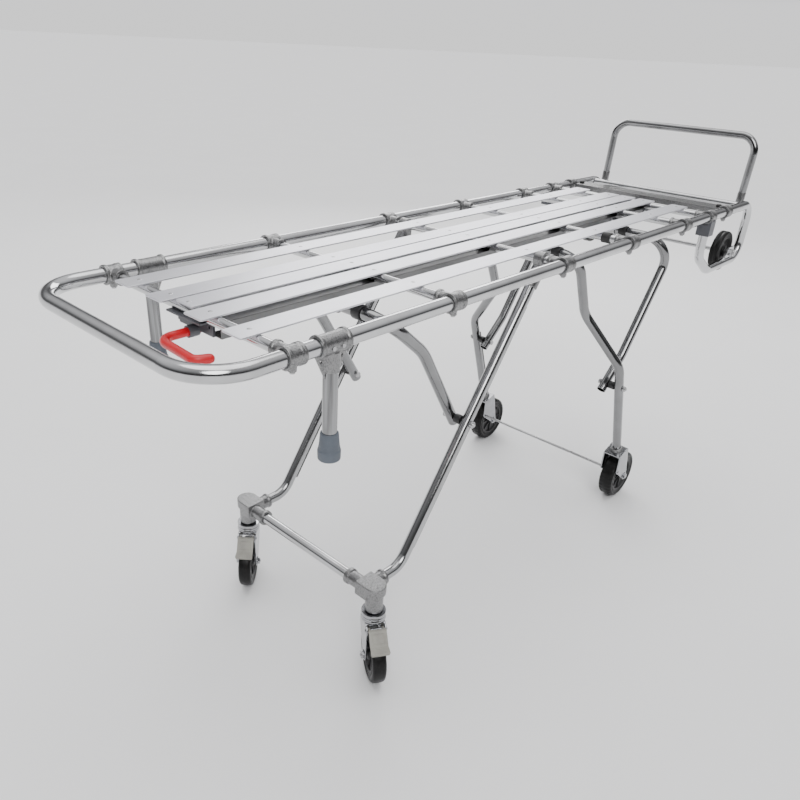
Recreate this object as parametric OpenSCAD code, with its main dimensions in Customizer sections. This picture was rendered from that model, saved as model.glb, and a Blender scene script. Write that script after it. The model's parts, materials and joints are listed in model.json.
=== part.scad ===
// Roll-in folding stretcher trolley: a tubular cot frame with slats, two folding leg sets and loading wheels.
// +X is the loading (head) end, +Z is up, and the plane y = 0 is the plane of symmetry.
// The origin is on the floor under the middle of the trolley.

/* [Frame] */
// Distance from the middle plane to the axis of a side rail
rail_half = 260; // [255:1:265]
// Height of the side rails' axes above the floor
rail_z = 852; // [846:1:856]
// Outside diameter of the side rails
rail_od = 28.6; // [28:0.1:30]
// Wall of every frame tube
tube_wall = 1.6; // [1.2:0.1:2]
// Outside diameter of the leg, brace and loop tubes
leg_od = 25.4; // [24:0.1:25.4]
// Outside diameter of the cross tubes
cross_od = 19; // [18:0.1:19.4]
// Corner radius of the foot end
foot_bend = 90; // [70:1:110]

/* [Bed] */
// Width of a slat
slat_w = 49.5; // [40:0.5:52]
// Thickness of a slat
slat_t = 3; // [2:0.5:4]
// Width of the slide track
track_w = 130; // [124:1:134]

/* [Wheels] */
// Diameter of the castors
wheel_d = 127; // [120:1:127]
// Width of the castors
wheel_w = 32; // [26:1:32]
// Diameter of the rear wheels
rear_wheel_d = 150; // [144:1:152]
// Width of the rear wheels
rear_wheel_w = 42; // [38:1:42]
// Diameter of the loading wheels
load_wheel_d = 124; // [110:1:126]
// Angle of the near castor from straight ahead
near_swivel = 57; // [40:1:60]
// Angle of the far castor from straight ahead
far_swivel = 42; // [40:1:60]

/* [Handle] */
// Height of the head-end handle's top bar axis
handle_top_z = 1047; // [1000:1:1080]
// Diameter of the handle tube
handle_od = 22; // [20:1:22]

/* [Hidden] */
$fn = 64;

rail_r = rail_od / 2;
leg_r = leg_od / 2;
cross_r = cross_od / 2;
press = 0.05;   // radial gap of a pressed or clamped fit
run = 0.05;     // radial gap of a running fit
bend_swell = 0.05;
bend_lap = 0.3;

// Stations along the side rails
foot_x = -1033;
joint_x = -876;
rail_end_x = 972;
cross_x = [joint_x, -492, -106, 204.5, 519, 694];
end_cross_x = 961;
saddle_x = -798;
head_sleeve_x = 817;
sleeve_x = concat(cross_x, [head_sleeve_x]);

// Slats rest on the cross tubes, and the track hangs under them
slat_y = [-160, -58, 4, 58, 160];
slat_foot_x = [-912, -912, -886, -912, -912];
slat_head_x = 722;
slat_z = rail_z + cross_r;
track_top = rail_z - cross_r;
track_h = 29;
track_t = 2.5;
track_bottom = track_top - track_h;
track_lip = 35;
track_foot_x = -862;
track_head_x = 722;

// Pivots, as [x, z]
leg_a_top = [-106, rail_z];
leg_a_pin = [-320, 519];
brace_d_top = [-551.8, 797];
brace_b_top = [550, 797];
leg_c_pin = [350, 414];
leg_c_top = [180, 794];

// Planes of the leg and brace tubes
leg_a_y = 200;
brace_d_y = 157;
brace_b_y = 209;
leg_c_upper_y = 146;
leg_c_y = 252;

// Foot-end leg: a straight line through its pin, then a short level run into the corner casting
leg_a_slope = 0.672;
casting_x = -618;
casting_y = 220;
casting_z = 224;
function leg_a_x(z) = leg_a_pin[0] + leg_a_slope * (z - leg_a_pin[1]);
leg_a_dir = [-leg_a_slope, 0, -1] / sqrt(1 + leg_a_slope * leg_a_slope);
clamp_low = 794;
clamp_high = 831;

// Castor heights and trail
stem_r = 8;
king_r = 6;
race_r = 27;
trail = 21;
axle_r = 4;
wheel_r = wheel_d / 2;
pedal_pin = [-28, 140];

// Rear forks: tilt from upright and the top of the fork plate as [x, z], with the axle in line below
rear_wheel_r = rear_wheel_d / 2;
rear_tilt = 20.5;
rear_fork_at = [439.2, 174.6];
rear_reach = (rear_fork_at[1] - rear_wheel_r) / cos(rear_tilt);

// Loading wheels and their loops
load_axle = [965, 706];
load_axle_r = 6;
load_y = 230;
load_w = 28;
loop_bottom = 680;
loop_top_x = 1034;
connector_x = 690;

// Handle pivot, as [x, z]
handle_y = 234;
handle_pin = [1008, 843.7];

// ---- Helpers ----

// Children, drawn up +Z from the origin, placed at a and pointed at b
module from_to(a, b) {
    d = b - a;
    translate(a) rotate([0, acos(d[2] / norm(d)), atan2(d[1], d[0])]) children();
}

module rod(a, b, r) {
    from_to(a, b) cylinder(r = r, h = norm(b - a));
}

// A rod across the trolley at [x, z] between two y values
module cross_rod(at, y0, y1, r) {
    rod([at[0], y0, at[1]], [at[0], y1, at[1]], r);
}

function unit(v) = v / norm(v);

// Distance from a corner of a path to where its bend begins
function setback(p, i, r) =
    let (u = unit(p[i - 1] - p[i]), v = unit(p[i + 1] - p[i]))
    r / tan(acos(u * v) / 2);

// The arc that rounds corner i of path p with radius r, as a torus piece of radius w
module bend(p, i, r, w) {
    u = unit(p[i - 1] - p[i]);
    v = unit(p[i + 1] - p[i]);
    half = acos(u * v) / 2;
    centre = p[i] + unit(u + v) * r / sin(half);
    ex = unit(p[i] + u * r / tan(half) - centre);
    ey = -u;
    ez = cross(ex, ey);
    multmatrix([
        [ex[0], ey[0], ez[0], centre[0]],
        [ex[1], ey[1], ez[1], centre[1]],
        [ex[2], ey[2], ez[2], centre[2]],
        [0, 0, 0, 1]
    ])
        rotate_extrude(angle = 180 - 2 * half) translate([r, 0]) circle(r = w);
}

// A solid rod of radius w along path p, whose inner corners have the radii in r.
// A bend is a hair thicker than the straights, which run a little way into it.
module bent_rod(p, r, w) {
    last = len(p) - 1;
    for (i = [0:last - 1]) {
        along = unit(p[i + 1] - p[i]);
        from = p[i] + along * (i == 0 ? 0 : setback(p, i, r[i]) - bend_lap);
        to = p[i + 1] - along * (i == last - 1 ? 0 : setback(p, i + 1, r[i + 1]) - bend_lap);
        rod(from, to, w);
    }
    for (i = [1:last - 1]) bend(p, i, r[i], w + bend_swell);
}

// The same rod, hollow and open at both ends
module bent_tube(p, r, od, wall = tube_wall) {
    last = len(p) - 1;
    lead = unit(p[0] - p[1]);
    tail = unit(p[last] - p[last - 1]);
    longer = [for (i = [0:last]) i == 0 ? p[0] + lead : i == last ? p[last] + tail : p[i]];
    difference() {
        bent_rod(p, r, od / 2);
        bent_rod(longer, r, od / 2 - wall);
    }
}

module tube(a, b, od, wall = tube_wall) {
    d = unit(b - a);
    difference() {
        rod(a, b, od / 2);
        rod(a - d, b + d, od / 2 - wall);
    }
}

// Children, drawn on the -Y side, on both sides
module both_sides() {
    children();
    mirror([0, 1, 0]) children();
}

// A U-shaped tube: a leg's path on the -Y side, mirrored across the trolley
function u_path(p) = concat(p, [for (i = [len(p) - 1:-1:0]) [p[i][0], -p[i][1], p[i][2]]]);
function u_radii(r) = concat(r, [for (i = [len(r) - 1:-1:0]) r[i]]);

// ---- Bed frame ----

module foot_tube() {
    color("silver")
        bent_tube(
            u_path([[joint_x, -rail_half, rail_z], [foot_x, -rail_half, rail_z]]),
            u_radii([0, foot_bend]), rail_od);
}

module rail() {
    color("silver")
        tube([joint_x, -rail_half, rail_z], [rail_end_x, -rail_half, rail_z], rail_od);
}

module rail_near() {
    rail();
}

module rail_far() {
    mirror([0, 1, 0]) rail();
}

cross_reach = rail_half - rail_r - 1;

module cross_tubes() {
    color("silver") {
        for (x = cross_x)
            tube([x, -cross_reach, rail_z], [x, cross_reach, rail_z], cross_od);
        tube([end_cross_x, -cross_reach, rail_z], [end_cross_x, cross_reach, rail_z], cross_od);
    }
}

sleeve_l = 36;
sleeve_r = rail_r + 3;
stub_r = cross_r + 3.5;
stub_y = 222;
lobe_drop = 25;

// A sleeve around the rail, with a rim at its foot end, two thin bands and a screw lobe below
module rail_sleeve(x) {
    translate([x, -rail_half, rail_z]) {
        rotate([0, 90, 0]) {
            cylinder(r = sleeve_r, h = sleeve_l, center = true);
            translate([0, 0, -sleeve_l / 2]) cylinder(r = sleeve_r + 2, h = 7);
            translate([0, 0, sleeve_l / 2 - 4]) cylinder(r = sleeve_r + 1, h = 3);
            translate([0, 0, sleeve_l / 2 - 10]) cylinder(r = sleeve_r + 1, h = 3);
        }
        translate([0, 0, -lobe_drop]) cylinder(r = 7, h = lobe_drop);
    }
}

// The inward stub that holds a cross tube
module sleeve_stub(x) {
    cross_rod([x, rail_z], -rail_half, -stub_y, stub_r);
    cross_rod([x, rail_z], -stub_y - 6, -stub_y, stub_r + 2);
}

module sleeve_castings() {
    color("gainsboro") both_sides()
        for (x = sleeve_x)
            difference() {
                union() {
                    rail_sleeve(x);
                    if (x != head_sleeve_x) sleeve_stub(x);
                }
                rod([x - sleeve_l, -rail_half, rail_z], [x + sleeve_l, -rail_half, rail_z], rail_r + press);
                if (x != head_sleeve_x)
                    cross_rod([x, rail_z], -cross_reach - press, 0, cross_r + press);
            }
}

saddle_l = 62;
gusset_t = 5;
post_top = rail_z - rail_r - 2;

// A long sleeve with a socket for the support post and a drilled triangular gusset on each side of it
module post_saddles() {
    color("gainsboro") both_sides() difference() {
        union() {
            translate([saddle_x, -rail_half, rail_z]) rotate([0, 90, 0]) {
                cylinder(r = sleeve_r, h = saddle_l, center = true);
                for (s = [-1, 1])
                    translate([0, 0, s * (saddle_l / 2 - 3)])
                        cylinder(r = sleeve_r + 2, h = 6, center = true);
            }
            translate([saddle_x, -rail_half, post_top - 30]) cylinder(r = leg_r + 3, h = 34);
            translate([saddle_x, -rail_half + gusset_t / 2, rail_z]) rotate([90, 0, 0])
                linear_extrude(gusset_t)
                    polygon([[-saddle_l / 2, -10], [saddle_l / 2, -10], [saddle_l / 2, -20],
                             [leg_r, -58], [-leg_r, -58], [-saddle_l / 2, -20]]);
        }
        rod([saddle_x - saddle_l, -rail_half, rail_z], [saddle_x + saddle_l, -rail_half, rail_z],
            rail_r + press);
        translate([saddle_x, -rail_half, 0]) cylinder(r = leg_r + press, h = post_top + press);
        for (s = [-1, 1])
            translate([saddle_x + s * 22, -rail_half, rail_z - 25]) rotate([90, 0, 0])
                cylinder(r = 2.5, h = 20, center = true);
    }
}

tip_z = 646;
tip_h = 50;
post_hole_z = [808, 693];

module support_posts() {
    color("silver") both_sides() difference() {
        tube([saddle_x, -rail_half, tip_z + 10], [saddle_x, -rail_half, post_top], leg_od);
        for (z = post_hole_z)
            translate([saddle_x, -rail_half, z]) rotate([90, 0, 0])
                cylinder(r = 2, h = leg_od * 2, center = true);
    }
}

module rubber_tips() {
    color("slategray") both_sides()
        translate([saddle_x, -rail_half, tip_z])
            rotate_extrude()
                polygon([[0, 0], [18, 0], [19.5, 2], [20, 15], [20, 17], [18.5, 19], [17.5, 24], [15, tip_h],
                         [leg_r + press, tip_h], [leg_r + press, 10 - press], [0, 10 - press]]);
}

// ---- Slats and their rivets ----

rivet_r = 2.5;
rivet_head = 1.5;
rivet_head_r = 5;

// A countersunk rivet head, or the seat for one
module rivet_cone(gap) {
    cylinder(r1 = rivet_r + gap, r2 = rivet_head_r + gap, h = rivet_head);
    if (gap > 0) translate([0, 0, rivet_head]) cylinder(r = rivet_head_r + gap, h = 1);
}

module slats() {
    color("lavender")
        for (i = [0:len(slat_y) - 1])
            difference() {
                translate([slat_foot_x[i], slat_y[i] - slat_w / 2, slat_z])
                    cube([slat_head_x - slat_foot_x[i], slat_w, slat_t]);
                for (x = cross_x) translate([x, slat_y[i], slat_z]) {
                    translate([0, 0, -1]) cylinder(r = rivet_r + press, h = slat_t + 2);
                    translate([0, 0, slat_t - rivet_head]) rivet_cone(press);
                }
            }
}

track_rivet_y = 45;

module rivets() {
    color("gainsboro") for (x = cross_x) {
        for (y = slat_y) translate([x, y, slat_z]) {
            cylinder(r = rivet_r, h = slat_t - rivet_head);
            translate([0, 0, slat_t - rivet_head]) rivet_cone(0);
        }
        if (x > track_foot_x)
            for (s = [-1, 1]) translate([x, s * track_rivet_y, track_top - track_t]) {
                cylinder(r = rivet_r, h = track_t - press);
                translate([0, 0, -1.5]) cylinder(r1 = 3.5, r2 = 5, h = 1.5);
            }
    }
}

// ---- Slide track ----

module slide_track() {
    w = track_w / 2;
    t = track_t;
    color("gray") difference() {
        translate([track_foot_x, 0, track_bottom]) rotate([90, 0, 90])
            linear_extrude(track_head_x - track_foot_x)
                polygon([[-w, 0], [-w, track_h], [w, track_h], [w, 0], [w - track_lip, 0],
                         [w - track_lip, t], [w - t, t], [w - t, track_h - t], [t - w, track_h - t],
                         [t - w, t], [track_lip - w, t], [track_lip - w, 0]]);
        for (x = cross_x)
            for (s = [-1, 1])
                translate([x, s * track_rivet_y, track_top - t - 1])
                    cylinder(r = rivet_r + press, h = t + 2);
        for (x = track_bolt_x)
            translate([x, 0, track_top - t - 1]) cylinder(r = 3 + press, h = t + 2);
    }
}

track_bolt_x = [-800, 80, 610];

module track_bolts() {
    color("darkgoldenrod") for (x = track_bolt_x) translate([x, 0, track_top]) {
        translate([0, 0, -track_t - 1]) cylinder(r = 3, h = track_t + 1);
        cylinder(r = 5.5, h = 2.5);
    }
}

release_z = track_bottom + 1;
release_r = 8;

// Dark plate that closes the track's foot end, hangs from the first cross tube and guides the release handle
module track_end_bracket() {
    color("dimgray") difference() {
        union() {
            translate([track_foot_x - 5, -48, track_bottom]) cube([4.8, 100, track_h - 1]);
            translate([track_foot_x - 30, -48, track_top - 3]) cube([26, 100, 3]);
            translate([track_foot_x - 24, 0, release_z]) rotate([0, 90, 0])
                cylinder(r = release_r + 3, h = 20);
        }
        translate([track_foot_x - 40, 0, release_z]) rotate([0, 90, 0])
            cylinder(r = release_r + run, h = 60);
        for (y = [-38, 42])
            translate([track_foot_x - 8, y, track_top - 14]) rotate([0, 90, 0]) cylinder(r = 3, h = 12);
    }
}

// ---- Fixed hinge of the head-end brace ----

hinge_ring_r = 16.4;
hinge_y = [34, 58];

module brace_hinge_brackets() {
    x = brace_b_top[0];
    z = brace_b_top[1];
    color("gray") both_sides() difference() {
        union() {
            cross_rod(brace_b_top, -hinge_y[1], -hinge_y[0], hinge_ring_r);
            translate([x - 24, -hinge_y[1], track_bottom - 2.8])
                cube([48, hinge_y[1] - hinge_y[0], 2.8]);
        }
        cross_rod(brace_b_top, -hinge_y[1] - 1, -hinge_y[0] + 1, leg_r + run);
    }
}

// ---- Head end ----

end_bar_x = [812, 876];
end_bar_z = rail_z + 4;

// Flat bar across the head end, with a turned-down edge and two holes
module end_bar() {
    reach = rail_half - sleeve_r - 3;
    color("gainsboro") difference() {
        union() {
            translate([end_bar_x[0], -reach, end_bar_z]) cube([end_bar_x[1] - end_bar_x[0], 2 * reach, 3]);
            translate([end_bar_x[0], -reach, end_bar_z - 14]) cube([3, 2 * reach, 15]);
        }
        for (y = [19, 114])
            translate([end_bar_x[0] + 38, y, end_bar_z - 1]) cylinder(r = 5, h = 5);
    }
}

plug_x = 840;
plug_y = 231;
bumper_y = [-207, -186];

// Black plugs on the end bar, and a black buffer sleeve on the middle cross tube
module bumpers() {
    color("#202020") {
        both_sides() translate([plug_x, -plug_y, end_bar_z + 3.05]) {
            cylinder(r = 8, h = 5);
            translate([0, 0, 5]) cylinder(r1 = 8, r2 = 6, h = 2);
        }
        difference() {
            cross_rod([cross_x[3], rail_z], bumper_y[0], bumper_y[1], 13);
            cross_rod([cross_x[3], rail_z], bumper_y[0] - 1, bumper_y[1] + 1, cross_r + press);
        }
    }
}

axle_plate_t = 5;

// The D-shaped loop that carries a loading wheel
module wheel_loop() {
    y = -rail_half;
    path = [[rail_end_x - 32, y, rail_z], [loop_top_x, y, rail_z], [loop_top_x, y, loop_bottom],
            [785, y, loop_bottom], [connector_x, y, 734], [connector_x, y, 831]];
    color("silver") difference() {
        union() {
            bent_tube(path, [0, 55, 55, 60, 45, 0], leg_od);
            translate([0, y + axle_plate_t / 2, 0]) rotate([90, 0, 0]) linear_extrude(axle_plate_t)
                polygon([[925, loop_bottom + leg_r - 1], [1000, loop_bottom + leg_r - 1],
                         [985, load_axle[1] + 18], [945, load_axle[1] + 18]]);
        }
        cross_rod(load_axle, y - 5, y + 5, load_axle_r + press);
        cross_rod(handle_pin, y + leg_r - 6, y + leg_r + 6, pivot_r + press);
    }
}

module wheel_loop_near() {
    wheel_loop();
}

module wheel_loop_far() {
    mirror([0, 1, 0]) wheel_loop();
}

// Dark saddle that joins the end of each loop to the underside of the last rail sleeve
module loop_connectors() {
    color("dimgray") both_sides() difference() {
        translate([connector_x - 17, -rail_half - 19, 801]) cube([34, 38, 43]);
        rod([connector_x - 30, -rail_half, rail_z], [connector_x + 30, -rail_half, rail_z],
            sleeve_r + 2 + press);
        cross_rod([cross_x[5], rail_z], -rail_half, -stub_y, stub_r + press);
        translate([cross_x[5], -rail_half, 786]) cylinder(r = 7 + press, h = 80);
        translate([connector_x, -rail_half, 786]) cylinder(r = leg_r + press, h = 46);
    }
}

module loading_axle() {
    end = rail_half + 16;
    color("silver") {
        cross_rod(load_axle, -end, end, load_axle_r);
        both_sides() {
            translate([load_axle[0], -rail_half - 3, load_axle[1]]) rotate([90, 0, 0])
                cylinder(r = 11, h = 9, $fn = 6);
            cross_rod(load_axle, -load_y + load_w / 2 + 1, -load_y + load_w / 2 + 6, 10);
        }
    }
}

module loading_wheel() {
    r = load_wheel_d / 2;
    w = load_w / 2;
    color("#202020") translate([load_axle[0], -load_y, load_axle[1]]) rotate([90, 0, 0])
        rotate_extrude()
            polygon([[load_axle_r + run, -w], [16, -w], [18, 4 - w], [38, 4 - w], [42, -w], [r - 5, -w],
                     [r - 1, 3 - w], [r, 8 - w], [r, w - 8], [r - 1, w - 3], [r - 5, w], [42, w],
                     [38, w - 4], [18, w - 4], [16, w], [load_axle_r + run, w]]);
}

module loading_wheel_near() {
    loading_wheel();
}

module loading_wheel_far() {
    mirror([0, 1, 0]) loading_wheel();
}

// ---- Head handle ----

sleeve_od = 24;
handle_base_z = 832;
handle_lean = 14;
handle_bend = 50;
pivot_r = 4;

// Studs on the loops that the handle turns on
module handle_pivots() {
    color("gray") both_sides() {
        cross_rod(handle_pin, -rail_half + leg_r - 2, -handle_y + sleeve_od / 2 + 2, pivot_r);
        cross_rod(handle_pin, -handle_y + sleeve_od / 2 + 0.5, -handle_y + sleeve_od / 2 + 5, 8);
    }
}

// Both legs of the handle stand on the pivot and lean slightly outward
module handle_bores() {
    cross_rod(handle_pin, -rail_half, rail_half, pivot_r + run);
}

module head_handle() {
    top_x = handle_pin[0] + handle_lean;
    base = [handle_pin[0], -handle_y, handle_base_z];
    color("silver") difference() {
        bent_tube(u_path([base, [top_x, -handle_y, handle_top_z]]), u_radii([0, handle_bend]), handle_od);
        handle_bores();
    }
}

module handle_sleeves() {
    top_x = handle_pin[0] + handle_lean;
    base = [handle_pin[0], -handle_y, handle_base_z];
    up = unit([top_x, -handle_y, handle_top_z] - base);
    color("gainsboro") both_sides() difference() {
        rod(base - up, base + 52 * up, sleeve_od / 2);
        rod(base - 5 * up, base + 60 * up, handle_od / 2 + press);
        handle_bores();
    }
}

// ---- Release handle ----

// A dipped rod that slides in the end bracket, turns toward the near side and curls back
module release_handle() {
    root = [track_foot_x - 2, 0, release_z];
    color("red")
        bent_rod([root, [-940, 0, release_z], [-946, -108, release_z], [-916, -122, release_z]],
                 [0, 26, 14, 0], release_r);
}

// ---- Fasteners and clips on the frame ----

module frame_screws() {
    color("gray") both_sides() {
        for (x = sleeve_x)
            if (x != cross_x[5])
                translate([x, -rail_half, rail_z - lobe_drop - 3]) cylinder(r = 4.5, h = 3);
        for (s = [-1, 1])
            translate([saddle_x + s * 10, -rail_half - sleeve_r, rail_z - 2]) rotate([90, 0, 0])
                cylinder(r = 3.5, h = 2);
    }
}

clip_x = [497, 706];

// Small angle clips on the near side of the track
module stop_clips() {
    color("silver") for (x = clip_x) difference() {
        union() {
            translate([x - 13, -track_w / 2 - 2.6, track_bottom + 4]) cube([26, 2.5, track_h - 6]);
            translate([x - 13, -track_w / 2 - 32, track_top - 6]) cube([26, 31, 2.5]);
        }
        translate([x, -track_w / 2 - 20, track_top - 10]) cylinder(r = 4, h = 12);
    }
}

// ---- Foot-end legs (set A) ----

clamp_w = 22;

// Casting that hooks over the cross tube and takes the top of a leg tube
module leg_a_clamps() {
    low = [leg_a_x(clamp_low), -leg_a_y, clamp_low];
    high = [leg_a_x(clamp_high), -leg_a_y, clamp_high];
    color("gainsboro") both_sides() difference() {
        union() {
            cross_rod(leg_a_top, -leg_a_y - clamp_w / 2, -leg_a_y + clamp_w / 2, 16);
            rod(low, high, leg_r + 3);
            translate([leg_a_top[0] - 14, -leg_a_y - clamp_w / 2, clamp_high - 6]) cube([28, clamp_w, 22]);
        }
        cross_rod(leg_a_top, -leg_a_y - clamp_w, -leg_a_y + clamp_w, cross_r + run);
        rod(low + 10 * leg_a_dir, high - 0.1 * leg_a_dir, leg_r + press);
    }
}

leg_a_low_bend = 52;
leg_a_end_x = casting_x + 18;

module leg_a_tubes() {
    top_z = clamp_high;
    color("silver") both_sides() difference() {
        bent_tube([[leg_a_x(top_z), -leg_a_y, top_z], [leg_a_x(casting_z), -leg_a_y, casting_z],
                   [leg_a_end_x, -leg_a_y, casting_z]], [0, leg_a_low_bend, 0], leg_od);
        cross_rod(leg_a_pin, -rail_half, 0, pivot_r + press);
    }
}

cross_low_x = casting_x - 2;
cross_low_z = casting_z - 2;

module leg_a_cross_tube() {
    color("silver")
        tube([cross_low_x, -casting_y + 22, cross_low_z],
             [cross_low_x, casting_y - 22, cross_low_z], leg_od);
}

boss_r = 20;
boss_low = 176;
boss_top = 243;
arm_r = leg_r + 3.5;

// Corner casting: castor boss, an arm toward the head end for the leg and an inward arm for the cross tube
module corner_castings() {
    color("gainsboro") both_sides() difference() {
        union() {
            translate([casting_x, -casting_y, boss_low]) cylinder(r = boss_r, h = boss_top - boss_low);
            translate([casting_x, -casting_y, boss_top - 22]) cylinder(r = 25, h = 22);
            translate([casting_x - 25, -casting_y, boss_top - 34]) cube([50, 36, 34]);
            rod([casting_x, -leg_a_y, casting_z], [casting_x + 48, -leg_a_y, casting_z], arm_r);
            rod([casting_x + 42, -leg_a_y, casting_z], [casting_x + 48, -leg_a_y, casting_z], arm_r + 2);
            cross_rod([cross_low_x, cross_low_z], -casting_y, -145, arm_r);
            cross_rod([cross_low_x, cross_low_z], -153, -143, arm_r + 2.5);
        }
        translate([casting_x, -casting_y, boss_low - 1]) cylinder(r = stem_r + press, h = 49);
        rod([leg_a_end_x - press, -leg_a_y, casting_z], [casting_x + 60, -leg_a_y, casting_z],
            leg_r + press);
        cross_rod([cross_low_x, cross_low_z], -casting_y + 22 - press, 0, leg_r + press);
    }
}

strip_w = 10;
strip_t = 7;

// A black strip along the +X side of the tube between two points of one x-z plane
module strip(a, b, r = leg_r) {
    d = unit(b - a);
    side = [-d[2], 0, d[0]];
    multmatrix([
        [side[0], 0, d[0], a[0]],
        [0, side[0] * d[2] - side[2] * d[0] > 0 ? -1 : 1, 0, a[1]],
        [side[2], 0, d[2], a[2]],
        [0, 0, 0, 1]
    ])
        difference() {
            translate([r - 2, -strip_w / 2, 0]) cube([strip_t + 2, strip_w, norm(b - a)]);
            translate([0, 0, -1]) cylinder(r = r + press, h = norm(b - a) + 2);
        }
}

strip_a_z = [761, 264];

module leg_a_strips() {
    color("#202020") both_sides()
        strip([leg_a_x(strip_a_z[0]), -leg_a_y, strip_a_z[0]],
              [leg_a_x(strip_a_z[1]), -leg_a_y, strip_a_z[1]]);
}

// A pivot bolt from an inner head to an outer cap nut
module pivot_bolt(at, inner, outer) {
    cross_rod(at, -outer - 2, -inner + 2, pivot_r);
    cross_rod(at, -inner + 0.4, -inner + 6, 7);
    cross_rod(at, -outer - 6, -outer - 0.1, 8);
    translate([at[0], -outer - 6, at[1]]) rotate([90, 0, 0]) cylinder(r1 = 6.5, r2 = 3.5, h = 4);
}

// The black spacer between two pinned tubes
module pivot_spacer(at, inner, outer) {
    difference() {
        cross_rod(at, -outer, -inner, 11);
        cross_rod(at, -outer - 1, -inner + 1, pivot_r + press);
    }
}

module leg_a_pivot_bolts() {
    color("gray") both_sides() pivot_bolt(leg_a_pin, brace_d_y - leg_r, leg_a_y + leg_r);
}

// The spacers are dished to sit on the round leg tube
module leg_a_spacers() {
    color("#202020") both_sides()
        pivot_spacer(leg_a_pin, brace_d_y + leg_r + 0.4, leg_a_y - leg_r - 0.1);
}

// Castor stems, with the fixed upper race and the king pin
module caster_stems() {
    color("gainsboro") both_sides() translate([casting_x, -casting_y, 0]) {
        translate([0, 0, 173]) cylinder(r = stem_r, h = 49);
        translate([0, 0, 165]) cylinder(r = race_r, h = 8);
        translate([0, 0, 173]) cylinder(r = 16, h = 2.8);
        translate([0, 0, 136]) cylinder(r = king_r, h = 30);
        translate([0, 0, 136]) cylinder(r = 9, h = 7, $fn = 6);
    }
}

// ---- Foot-end brace (set A) ----

crossbar_bend = 60;

module brace_d_tube() {
    y = -brace_d_y;
    color("silver") difference() {
        bent_tube(
            u_path([[leg_a_pin[0] + 11, y, leg_a_pin[1] - 17], [-440, y, 706],
                    [brace_d_top[0], y, brace_d_top[1]]]),
            u_radii([0, 150, crossbar_bend]), leg_od);
        cross_rod(leg_a_pin, -rail_half, rail_half, pivot_r + run);
    }
}

bush_y = [70, 92];
bush_r = 16;

// Black bushes on a crossbar, one on each side of the track
module crossbar_bushes(at) {
    both_sides() difference() {
        cross_rod(at, -bush_y[1], -bush_y[0], bush_r);
        cross_rod(at, -bush_y[1] - 1, -bush_y[0] + 1, leg_r + press);
    }
}

module brace_d_bushes() {
    color("#202020") crossbar_bushes(brace_d_top);
}

slide_top = 832;
slide_h = 12;

// Nylon slider: a head inside the track, a neck through its slot and a ring round the crossbar
module carriage(at) {
    neck = track_w / 2 - track_lip - 4;
    color("#303030") difference() {
        union() {
            cross_rod(at, -neck, neck, 17);
            translate([at[0] - 13, -neck, at[1]]) cube([26, 2 * neck, slide_top - at[1]]);
            translate([at[0] - 18, 4.5 - track_w / 2, slide_top - slide_h]) cube([36, track_w - 9, slide_h]);
        }
        cross_rod(at, -neck - 1, neck + 1, leg_r + run);
    }
}

module carriage_d() {
    carriage(brace_d_top);
}

// ---- Castors ----

// Children, drawn at the origin with the wheel rolling along X, placed under a corner casting
module at_caster(side) {
    translate([casting_x, side * casting_y, 0]) rotate([0, 0, side < 0 ? near_swivel : far_swivel])
        children();
}

fork_gap = wheel_w / 2 + 3;
fork_t = 4;

module fork_plate() {
    rotate([90, 0, 0]) linear_extrude(fork_t, center = true) {
        polygon([[-35, 132], [-34, 146], [-26, 150], [24, 150], [26, 126], [-trail + 13, wheel_r],
                 [-trail - 13, wheel_r]]);
        translate([-trail, wheel_r]) circle(r = 13);
    }
}

// Swivel fork with its lower race, wheel axle and pedal pin
module caster_fork(side) {
    color("gainsboro") at_caster(side) {
        difference() {
            union() {
                translate([0, 0, 151]) cylinder(r = race_r, h = 13);
                translate([-22, -fork_gap - fork_t, 144]) cube([46, 2 * fork_gap + 2 * fork_t, 8]);
                for (s = [-1, 1]) translate([0, s * (fork_gap + fork_t / 2), 0]) fork_plate();
            }
            cylinder(r = king_r + run, h = 200);
            for (p = [[-trail, wheel_r, axle_r], [pedal_pin[0], pedal_pin[1], 2.5]])
                cross_rod([p[0], p[1]], -60, 60, p[2] + press);
        }
        cross_rod([-trail, wheel_r], -fork_gap - fork_t - 5, fork_gap + fork_t + 5, axle_r);
        cross_rod(pedal_pin, -fork_gap - fork_t - 2, fork_gap + fork_t + 2, 2.5);
        for (s = [-1, 1])
            translate([-trail, s * (fork_gap + fork_t + 3), wheel_r]) rotate([90, 0, 0])
                cylinder(r = 7.5, h = 5.8, center = true, $fn = 6);
    }
}

module caster_fork_near() {
    caster_fork(-1);
}

module caster_fork_far() {
    caster_fork(1);
}

// A wheel centre with dished sides for a wheel of radius r and width w, whose axis is Y
module wheel_hub(r, w) {
    rim = r - 21.5;
    h = w / 2;
    rotate([90, 0, 0]) rotate_extrude()
        polygon([[axle_r + run, -h], [12, -h], [13, 6 - h], [rim - 7, 6 - h], [rim - 5, 2 - h],
                 [rim, 2 - h], [rim, h - 2], [rim - 5, h - 2], [rim - 7, h - 6], [13, h - 6],
                 [12, h], [axle_r + run, h]]);
}

// Its tyre
module wheel_tyre(r, w) {
    rim = r - 21.5;
    h = w / 2;
    rotate([90, 0, 0]) rotate_extrude()
        polygon([[rim + press, 1 - h], [r - 9, -h], [r - 4, 2 - h], [r - 1, 6 - h], [r, 11 - h],
                 [r, h - 11], [r - 1, h - 6], [r - 4, h - 2], [r - 9, h], [rim + press, h - 1]]);
}

module caster_hub_near() {
    color("#303030") at_caster(-1) translate([-trail, 0, wheel_r]) wheel_hub(wheel_r, wheel_w);
}

module caster_hub_far() {
    color("#303030") at_caster(1) translate([-trail, 0, wheel_r]) wheel_hub(wheel_r, wheel_w);
}

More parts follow.
